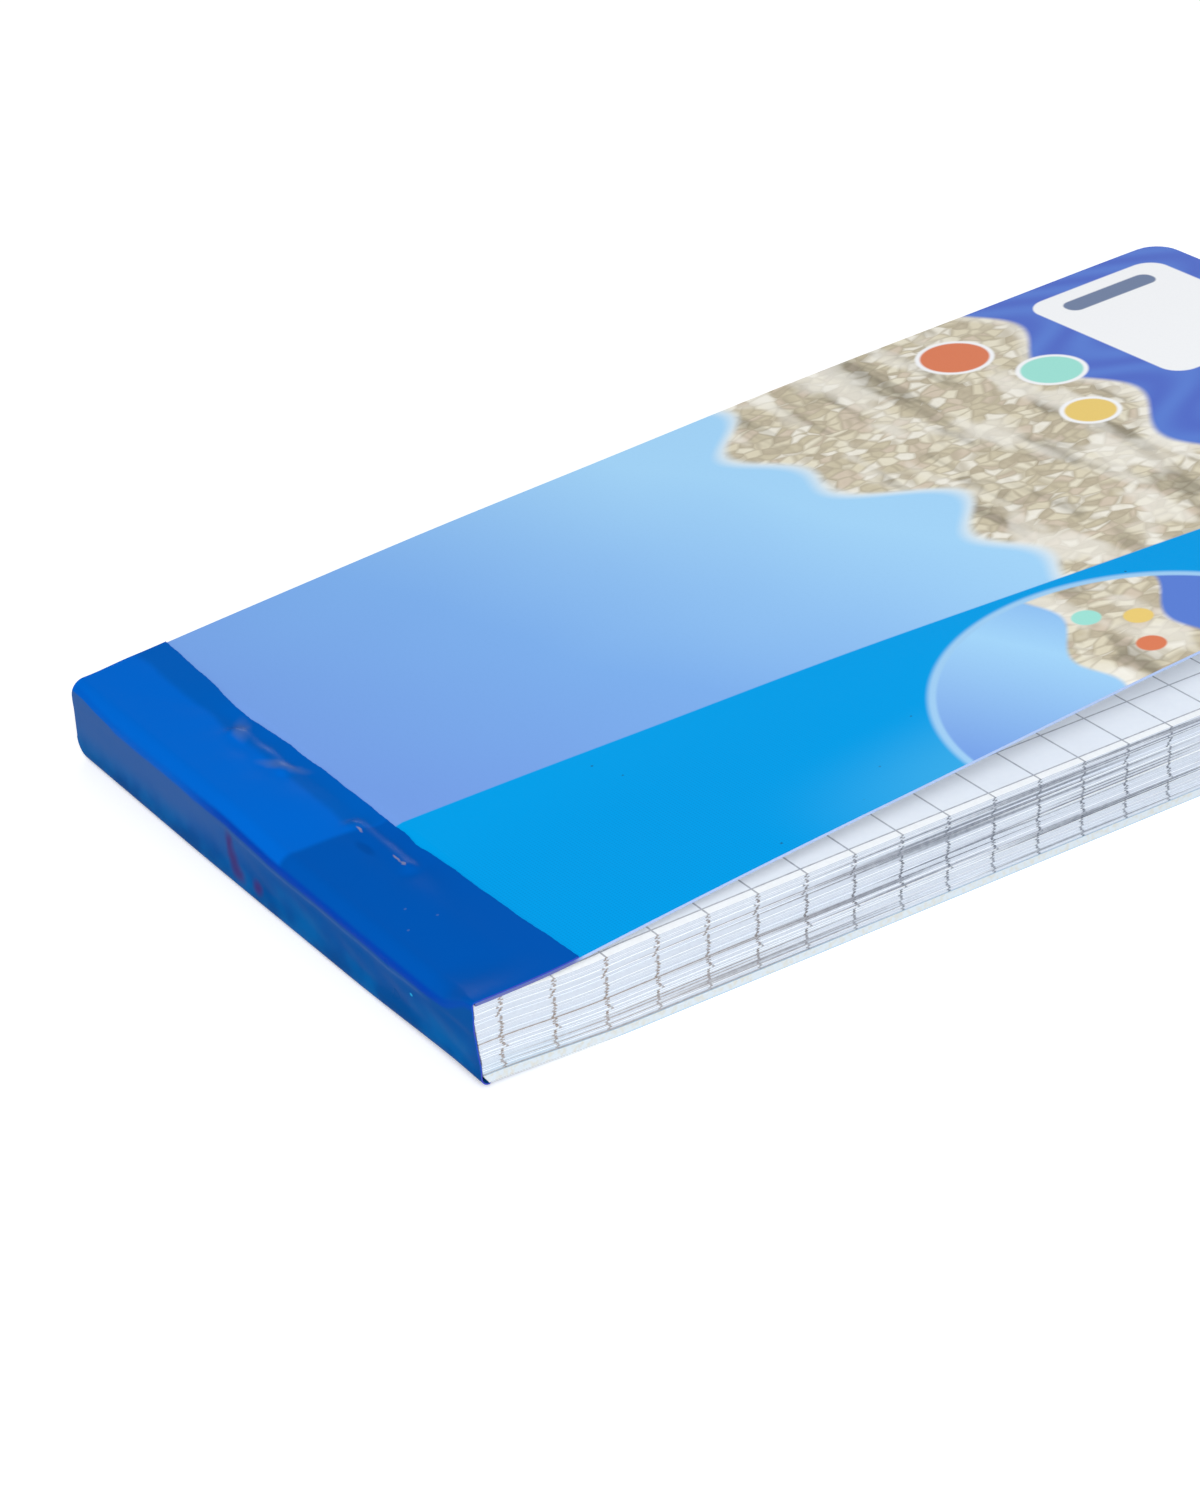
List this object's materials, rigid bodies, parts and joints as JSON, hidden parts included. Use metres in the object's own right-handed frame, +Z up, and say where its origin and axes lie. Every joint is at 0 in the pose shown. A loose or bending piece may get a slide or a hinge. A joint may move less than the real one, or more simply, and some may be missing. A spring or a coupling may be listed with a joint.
{
  "type": "memo pad",
  "caption": "Squared memo pad bound at the head: a glossy printed cover and loose leaves turn up at the edge of a wrapped tape binding, stapled to a card back.",
  "frame": {"origin": "middle of the underside, on the surface that the pad lies on", "axes": "+Y towards the bound head, +X towards the reader's right, +Z up through the sheets to the cover"},
  "size_m": [0.07, 0.134, 0.0183],
  "materials": {
    "board": "matte",
    "paper": "matte",
    "cover": "gloss",
    "tape": "gloss",
    "wire": "satin"
  },
  "bodies": {
    "pad": {"backing_board": "board", "bound_block": "paper", "cover_strip": "cover", "binding_tape": "tape", "staple_left": "wire", "staple_right": "wire"},
    "cover": {"front_cover": "cover"},
    "leaf_01": {"leaf_01": "paper"},
    "leaf_02": {"leaf_02": "paper"},
    "leaf_03": {"leaf_03": "paper"},
    "leaf_04": {"leaf_04": "paper"},
    "leaf_05": {"leaf_05": "paper"},
    "leaf_06": {"leaf_06": "paper"},
    "leaf_07": {"leaf_07": "paper"},
    "leaf_08": {"leaf_08": "paper"},
    "leaf_09": {"leaf_09": "paper"},
    "leaf_10": {"leaf_10": "paper"},
    "leaf_11": {"leaf_11": "paper"},
    "leaf_12": {"leaf_12": "paper"},
    "leaf_13": {"leaf_13": "paper"},
    "leaf_14": {"leaf_14": "paper"},
    "leaf_15": {"leaf_15": "paper"},
    "leaf_16": {"leaf_16": "paper"},
    "leaf_17": {"leaf_17": "paper"},
    "leaf_18": {"leaf_18": "paper"},
    "leaf_19": {"leaf_19": "paper"},
    "leaf_20": {"leaf_20": "paper"},
    "leaf_21": {"leaf_21": "paper"},
    "leaf_22": {"leaf_22": "paper"},
    "leaf_23": {"leaf_23": "paper"},
    "leaf_24": {"leaf_24": "paper"},
    "leaf_25": {"leaf_25": "paper"},
    "leaf_26": {"leaf_26": "paper"},
    "leaf_27": {"leaf_27": "paper"},
    "leaf_28": {"leaf_28": "paper"},
    "leaf_29": {"leaf_29": "paper"},
    "leaf_30": {"leaf_30": "paper"},
    "leaf_31": {"leaf_31": "paper"},
    "leaf_32": {"leaf_32": "paper"},
    "leaf_33": {"leaf_33": "paper"},
    "leaf_34": {"leaf_34": "paper"},
    "leaf_35": {"leaf_35": "paper"},
    "leaf_36": {"leaf_36": "paper"},
    "leaf_37": {"leaf_37": "paper"},
    "leaf_38": {"leaf_38": "paper"},
    "leaf_39": {"leaf_39": "paper"},
    "leaf_40": {"leaf_40": "paper"},
    "leaf_41": {"leaf_41": "paper"},
    "leaf_42": {"leaf_42": "paper"},
    "leaf_43": {"leaf_43": "paper"},
    "leaf_44": {"leaf_44": "paper"},
    "leaf_45": {"leaf_45": "paper"},
    "leaf_46": {"leaf_46": "paper"},
    "leaf_47": {"leaf_47": "paper"},
    "leaf_48": {"leaf_48": "paper"},
    "leaf_49": {"leaf_49": "paper"},
    "leaf_50": {"leaf_50": "paper"}
  },
  "joints": [
    {"name": "cover_turn", "type": "hinge", "parent": "pad", "child": "cover", "pos_m": [0, 0.05685, 0.00903], "axis": [-1, 0, 0], "range_deg": [0, 170]},
    {"name": "leaf_01_turn", "type": "hinge", "parent": "pad", "child": "leaf_01", "pos_m": [0, 0.05685, 0.00903], "axis": [-1, 0, 0], "range_deg": [0, 166.67]},
    {"name": "leaf_02_turn", "type": "hinge", "parent": "pad", "child": "leaf_02", "pos_m": [0, 0.05685, 0.00903], "axis": [-1, 0, 0], "range_deg": [0, 163.33]},
    {"name": "leaf_03_turn", "type": "hinge", "parent": "pad", "child": "leaf_03", "pos_m": [0, 0.05685, 0.00903], "axis": [-1, 0, 0], "range_deg": [0, 160]},
    {"name": "leaf_04_turn", "type": "hinge", "parent": "pad", "child": "leaf_04", "pos_m": [0, 0.05685, 0.00903], "axis": [-1, 0, 0], "range_deg": [0, 156.67]},
    {"name": "leaf_05_turn", "type": "hinge", "parent": "pad", "child": "leaf_05", "pos_m": [0, 0.05685, 0.00903], "axis": [-1, 0, 0], "range_deg": [0, 153.33]},
    {"name": "leaf_06_turn", "type": "hinge", "parent": "pad", "child": "leaf_06", "pos_m": [0, 0.05685, 0.00903], "axis": [-1, 0, 0], "range_deg": [0, 150]},
    {"name": "leaf_07_turn", "type": "hinge", "parent": "pad", "child": "leaf_07", "pos_m": [0, 0.05685, 0.00903], "axis": [-1, 0, 0], "range_deg": [0, 146.67]},
    {"name": "leaf_08_turn", "type": "hinge", "parent": "pad", "child": "leaf_08", "pos_m": [0, 0.05685, 0.00903], "axis": [-1, 0, 0], "range_deg": [0, 143.33]},
    {"name": "leaf_09_turn", "type": "hinge", "parent": "pad", "child": "leaf_09", "pos_m": [0, 0.05685, 0.00903], "axis": [-1, 0, 0], "range_deg": [0, 140]},
    {"name": "leaf_10_turn", "type": "hinge", "parent": "pad", "child": "leaf_10", "pos_m": [0, 0.05685, 0.00903], "axis": [-1, 0, 0], "range_deg": [0, 136.67]},
    {"name": "leaf_11_turn", "type": "hinge", "parent": "pad", "child": "leaf_11", "pos_m": [0, 0.05685, 0.00903], "axis": [-1, 0, 0], "range_deg": [0, 133.33]},
    {"name": "leaf_12_turn", "type": "hinge", "parent": "pad", "child": "leaf_12", "pos_m": [0, 0.05685, 0.00903], "axis": [-1, 0, 0], "range_deg": [0, 130]},
    {"name": "leaf_13_turn", "type": "hinge", "parent": "pad", "child": "leaf_13", "pos_m": [0, 0.05685, 0.00903], "axis": [-1, 0, 0], "range_deg": [0, 126.67]},
    {"name": "leaf_14_turn", "type": "hinge", "parent": "pad", "child": "leaf_14", "pos_m": [0, 0.05685, 0.00903], "axis": [-1, 0, 0], "range_deg": [0, 123.33]},
    {"name": "leaf_15_turn", "type": "hinge", "parent": "pad", "child": "leaf_15", "pos_m": [0, 0.05685, 0.00903], "axis": [-1, 0, 0], "range_deg": [0, 120]},
    {"name": "leaf_16_turn", "type": "hinge", "parent": "pad", "child": "leaf_16", "pos_m": [0, 0.05685, 0.00903], "axis": [-1, 0, 0], "range_deg": [0, 116.67]},
    {"name": "leaf_17_turn", "type": "hinge", "parent": "pad", "child": "leaf_17", "pos_m": [0, 0.05685, 0.00903], "axis": [-1, 0, 0], "range_deg": [0, 113.33]},
    {"name": "leaf_18_turn", "type": "hinge", "parent": "pad", "child": "leaf_18", "pos_m": [0, 0.05685, 0.00903], "axis": [-1, 0, 0], "range_deg": [0, 110]},
    {"name": "leaf_19_turn", "type": "hinge", "parent": "pad", "child": "leaf_19", "pos_m": [0, 0.05685, 0.00903], "axis": [-1, 0, 0], "range_deg": [0, 106.67]},
    {"name": "leaf_20_turn", "type": "hinge", "parent": "pad", "child": "leaf_20", "pos_m": [0, 0.05685, 0.00903], "axis": [-1, 0, 0], "range_deg": [0, 103.33]},
    {"name": "leaf_21_turn", "type": "hinge", "parent": "pad", "child": "leaf_21", "pos_m": [0, 0.05685, 0.00903], "axis": [-1, 0, 0], "range_deg": [0, 100]},
    {"name": "leaf_22_turn", "type": "hinge", "parent": "pad", "child": "leaf_22", "pos_m": [0, 0.05685, 0.00903], "axis": [-1, 0, 0], "range_deg": [0, 96.67]},
    {"name": "leaf_23_turn", "type": "hinge", "parent": "pad", "child": "leaf_23", "pos_m": [0, 0.05685, 0.00903], "axis": [-1, 0, 0], "range_deg": [0, 93.33]},
    {"name": "leaf_24_turn", "type": "hinge", "parent": "pad", "child": "leaf_24", "pos_m": [0, 0.05685, 0.00903], "axis": [-1, 0, 0], "range_deg": [0, 90]},
    {"name": "leaf_25_turn", "type": "hinge", "parent": "pad", "child": "leaf_25", "pos_m": [0, 0.05685, 0.00903], "axis": [-1, 0, 0], "range_deg": [0, 86.67]},
    {"name": "leaf_26_turn", "type": "hinge", "parent": "pad", "child": "leaf_26", "pos_m": [0, 0.05685, 0.00903], "axis": [-1, 0, 0], "range_deg": [0, 83.33]},
    {"name": "leaf_27_turn", "type": "hinge", "parent": "pad", "child": "leaf_27", "pos_m": [0, 0.05685, 0.00903], "axis": [-1, 0, 0], "range_deg": [0, 80]},
    {"name": "leaf_28_turn", "type": "hinge", "parent": "pad", "child": "leaf_28", "pos_m": [0, 0.05685, 0.00903], "axis": [-1, 0, 0], "range_deg": [0, 76.67]},
    {"name": "leaf_29_turn", "type": "hinge", "parent": "pad", "child": "leaf_29", "pos_m": [0, 0.05685, 0.00903], "axis": [-1, 0, 0], "range_deg": [0, 73.33]},
    {"name": "leaf_30_turn", "type": "hinge", "parent": "pad", "child": "leaf_30", "pos_m": [0, 0.05685, 0.00903], "axis": [-1, 0, 0], "range_deg": [0, 70]},
    {"name": "leaf_31_turn", "type": "hinge", "parent": "pad", "child": "leaf_31", "pos_m": [0, 0.05685, 0.00903], "axis": [-1, 0, 0], "range_deg": [0, 66.67]},
    {"name": "leaf_32_turn", "type": "hinge", "parent": "pad", "child": "leaf_32", "pos_m": [0, 0.05685, 0.00903], "axis": [-1, 0, 0], "range_deg": [0, 63.33]},
    {"name": "leaf_33_turn", "type": "hinge", "parent": "pad", "child": "leaf_33", "pos_m": [0, 0.05685, 0.00903], "axis": [-1, 0, 0], "range_deg": [0, 60]},
    {"name": "leaf_34_turn", "type": "hinge", "parent": "pad", "child": "leaf_34", "pos_m": [0, 0.05685, 0.00903], "axis": [-1, 0, 0], "range_deg": [0, 56.67]},
    {"name": "leaf_35_turn", "type": "hinge", "parent": "pad", "child": "leaf_35", "pos_m": [0, 0.05685, 0.00903], "axis": [-1, 0, 0], "range_deg": [0, 53.33]},
    {"name": "leaf_36_turn", "type": "hinge", "parent": "pad", "child": "leaf_36", "pos_m": [0, 0.05685, 0.00903], "axis": [-1, 0, 0], "range_deg": [0, 50]},
    {"name": "leaf_37_turn", "type": "hinge", "parent": "pad", "child": "leaf_37", "pos_m": [0, 0.05685, 0.00903], "axis": [-1, 0, 0], "range_deg": [0, 46.67]},
    {"name": "leaf_38_turn", "type": "hinge", "parent": "pad", "child": "leaf_38", "pos_m": [0, 0.05685, 0.00903], "axis": [-1, 0, 0], "range_deg": [0, 43.33]},
    {"name": "leaf_39_turn", "type": "hinge", "parent": "pad", "child": "leaf_39", "pos_m": [0, 0.05685, 0.00903], "axis": [-1, 0, 0], "range_deg": [0, 40]},
    {"name": "leaf_40_turn", "type": "hinge", "parent": "pad", "child": "leaf_40", "pos_m": [0, 0.05685, 0.00903], "axis": [-1, 0, 0], "range_deg": [0, 36.67]},
    {"name": "leaf_41_turn", "type": "hinge", "parent": "pad", "child": "leaf_41", "pos_m": [0, 0.05685, 0.00903], "axis": [-1, 0, 0], "range_deg": [0, 33.33]},
    {"name": "leaf_42_turn", "type": "hinge", "parent": "pad", "child": "leaf_42", "pos_m": [0, 0.05685, 0.00903], "axis": [-1, 0, 0], "range_deg": [0, 30]},
    {"name": "leaf_43_turn", "type": "hinge", "parent": "pad", "child": "leaf_43", "pos_m": [0, 0.05685, 0.00903], "axis": [-1, 0, 0], "range_deg": [0, 26.67]},
    {"name": "leaf_44_turn", "type": "hinge", "parent": "pad", "child": "leaf_44", "pos_m": [0, 0.05685, 0.00903], "axis": [-1, 0, 0], "range_deg": [0, 23.33]},
    {"name": "leaf_45_turn", "type": "hinge", "parent": "pad", "child": "leaf_45", "pos_m": [0, 0.05685, 0.00903], "axis": [-1, 0, 0], "range_deg": [0, 20]},
    {"name": "leaf_46_turn", "type": "hinge", "parent": "pad", "child": "leaf_46", "pos_m": [0, 0.05685, 0.00903], "axis": [-1, 0, 0], "range_deg": [0, 16.67]},
    {"name": "leaf_47_turn", "type": "hinge", "parent": "pad", "child": "leaf_47", "pos_m": [0, 0.05685, 0.00903], "axis": [-1, 0, 0], "range_deg": [0, 13.33]},
    {"name": "leaf_48_turn", "type": "hinge", "parent": "pad", "child": "leaf_48", "pos_m": [0, 0.05685, 0.00903], "axis": [-1, 0, 0], "range_deg": [0, 10]},
    {"name": "leaf_49_turn", "type": "hinge", "parent": "pad", "child": "leaf_49", "pos_m": [0, 0.05685, 0.00903], "axis": [-1, 0, 0], "range_deg": [0, 6.67]},
    {"name": "leaf_50_turn", "type": "hinge", "parent": "pad", "child": "leaf_50", "pos_m": [0, 0.05685, 0.00903], "axis": [-1, 0, 0], "range_deg": [0, 3.33]}
  ],
  "couplings": [
    {"joint": "leaf_01_turn", "follows": "cover_turn", "ratio": 0.98039},
    {"joint": "leaf_02_turn", "follows": "cover_turn", "ratio": 0.96078},
    {"joint": "leaf_03_turn", "follows": "cover_turn", "ratio": 0.94118},
    {"joint": "leaf_04_turn", "follows": "cover_turn", "ratio": 0.92157},
    {"joint": "leaf_05_turn", "follows": "cover_turn", "ratio": 0.90196},
    {"joint": "leaf_06_turn", "follows": "cover_turn", "ratio": 0.88235},
    {"joint": "leaf_07_turn", "follows": "cover_turn", "ratio": 0.86274},
    {"joint": "leaf_08_turn", "follows": "cover_turn", "ratio": 0.84314},
    {"joint": "leaf_09_turn", "follows": "cover_turn", "ratio": 0.82353},
    {"joint": "leaf_10_turn", "follows": "cover_turn", "ratio": 0.80392},
    {"joint": "leaf_11_turn", "follows": "cover_turn", "ratio": 0.78431},
    {"joint": "leaf_12_turn", "follows": "cover_turn", "ratio": 0.76471},
    {"joint": "leaf_13_turn", "follows": "cover_turn", "ratio": 0.7451},
    {"joint": "leaf_14_turn", "follows": "cover_turn", "ratio": 0.72549},
    {"joint": "leaf_15_turn", "follows": "cover_turn", "ratio": 0.70588},
    {"joint": "leaf_16_turn", "follows": "cover_turn", "ratio": 0.68627},
    {"joint": "leaf_17_turn", "follows": "cover_turn", "ratio": 0.66667},
    {"joint": "leaf_18_turn", "follows": "cover_turn", "ratio": 0.64706},
    {"joint": "leaf_19_turn", "follows": "cover_turn", "ratio": 0.62745},
    {"joint": "leaf_20_turn", "follows": "cover_turn", "ratio": 0.60784},
    {"joint": "leaf_21_turn", "follows": "cover_turn", "ratio": 0.58823},
    {"joint": "leaf_22_turn", "follows": "cover_turn", "ratio": 0.56863},
    {"joint": "leaf_23_turn", "follows": "cover_turn", "ratio": 0.54902},
    {"joint": "leaf_24_turn", "follows": "cover_turn", "ratio": 0.52941},
    {"joint": "leaf_25_turn", "follows": "cover_turn", "ratio": 0.5098},
    {"joint": "leaf_26_turn", "follows": "cover_turn", "ratio": 0.4902},
    {"joint": "leaf_27_turn", "follows": "cover_turn", "ratio": 0.47059},
    {"joint": "leaf_28_turn", "follows": "cover_turn", "ratio": 0.45098},
    {"joint": "leaf_29_turn", "follows": "cover_turn", "ratio": 0.43137},
    {"joint": "leaf_30_turn", "follows": "cover_turn", "ratio": 0.41176},
    {"joint": "leaf_31_turn", "follows": "cover_turn", "ratio": 0.39216},
    {"joint": "leaf_32_turn", "follows": "cover_turn", "ratio": 0.37255},
    {"joint": "leaf_33_turn", "follows": "cover_turn", "ratio": 0.35294},
    {"joint": "leaf_34_turn", "follows": "cover_turn", "ratio": 0.33333},
    {"joint": "leaf_35_turn", "follows": "cover_turn", "ratio": 0.31372},
    {"joint": "leaf_36_turn", "follows": "cover_turn", "ratio": 0.29412},
    {"joint": "leaf_37_turn", "follows": "cover_turn", "ratio": 0.27451},
    {"joint": "leaf_38_turn", "follows": "cover_turn", "ratio": 0.2549},
    {"joint": "leaf_39_turn", "follows": "cover_turn", "ratio": 0.23529},
    {"joint": "leaf_40_turn", "follows": "cover_turn", "ratio": 0.21569},
    {"joint": "leaf_41_turn", "follows": "cover_turn", "ratio": 0.19608},
    {"joint": "leaf_42_turn", "follows": "cover_turn", "ratio": 0.17647},
    {"joint": "leaf_43_turn", "follows": "cover_turn", "ratio": 0.15686},
    {"joint": "leaf_44_turn", "follows": "cover_turn", "ratio": 0.13725},
    {"joint": "leaf_45_turn", "follows": "cover_turn", "ratio": 0.11765},
    {"joint": "leaf_46_turn", "follows": "cover_turn", "ratio": 0.098039},
    {"joint": "leaf_47_turn", "follows": "cover_turn", "ratio": 0.078431},
    {"joint": "leaf_48_turn", "follows": "cover_turn", "ratio": 0.058824},
    {"joint": "leaf_49_turn", "follows": "cover_turn", "ratio": 0.039216},
    {"joint": "leaf_50_turn", "follows": "cover_turn", "ratio": 0.019608}
  ]
}
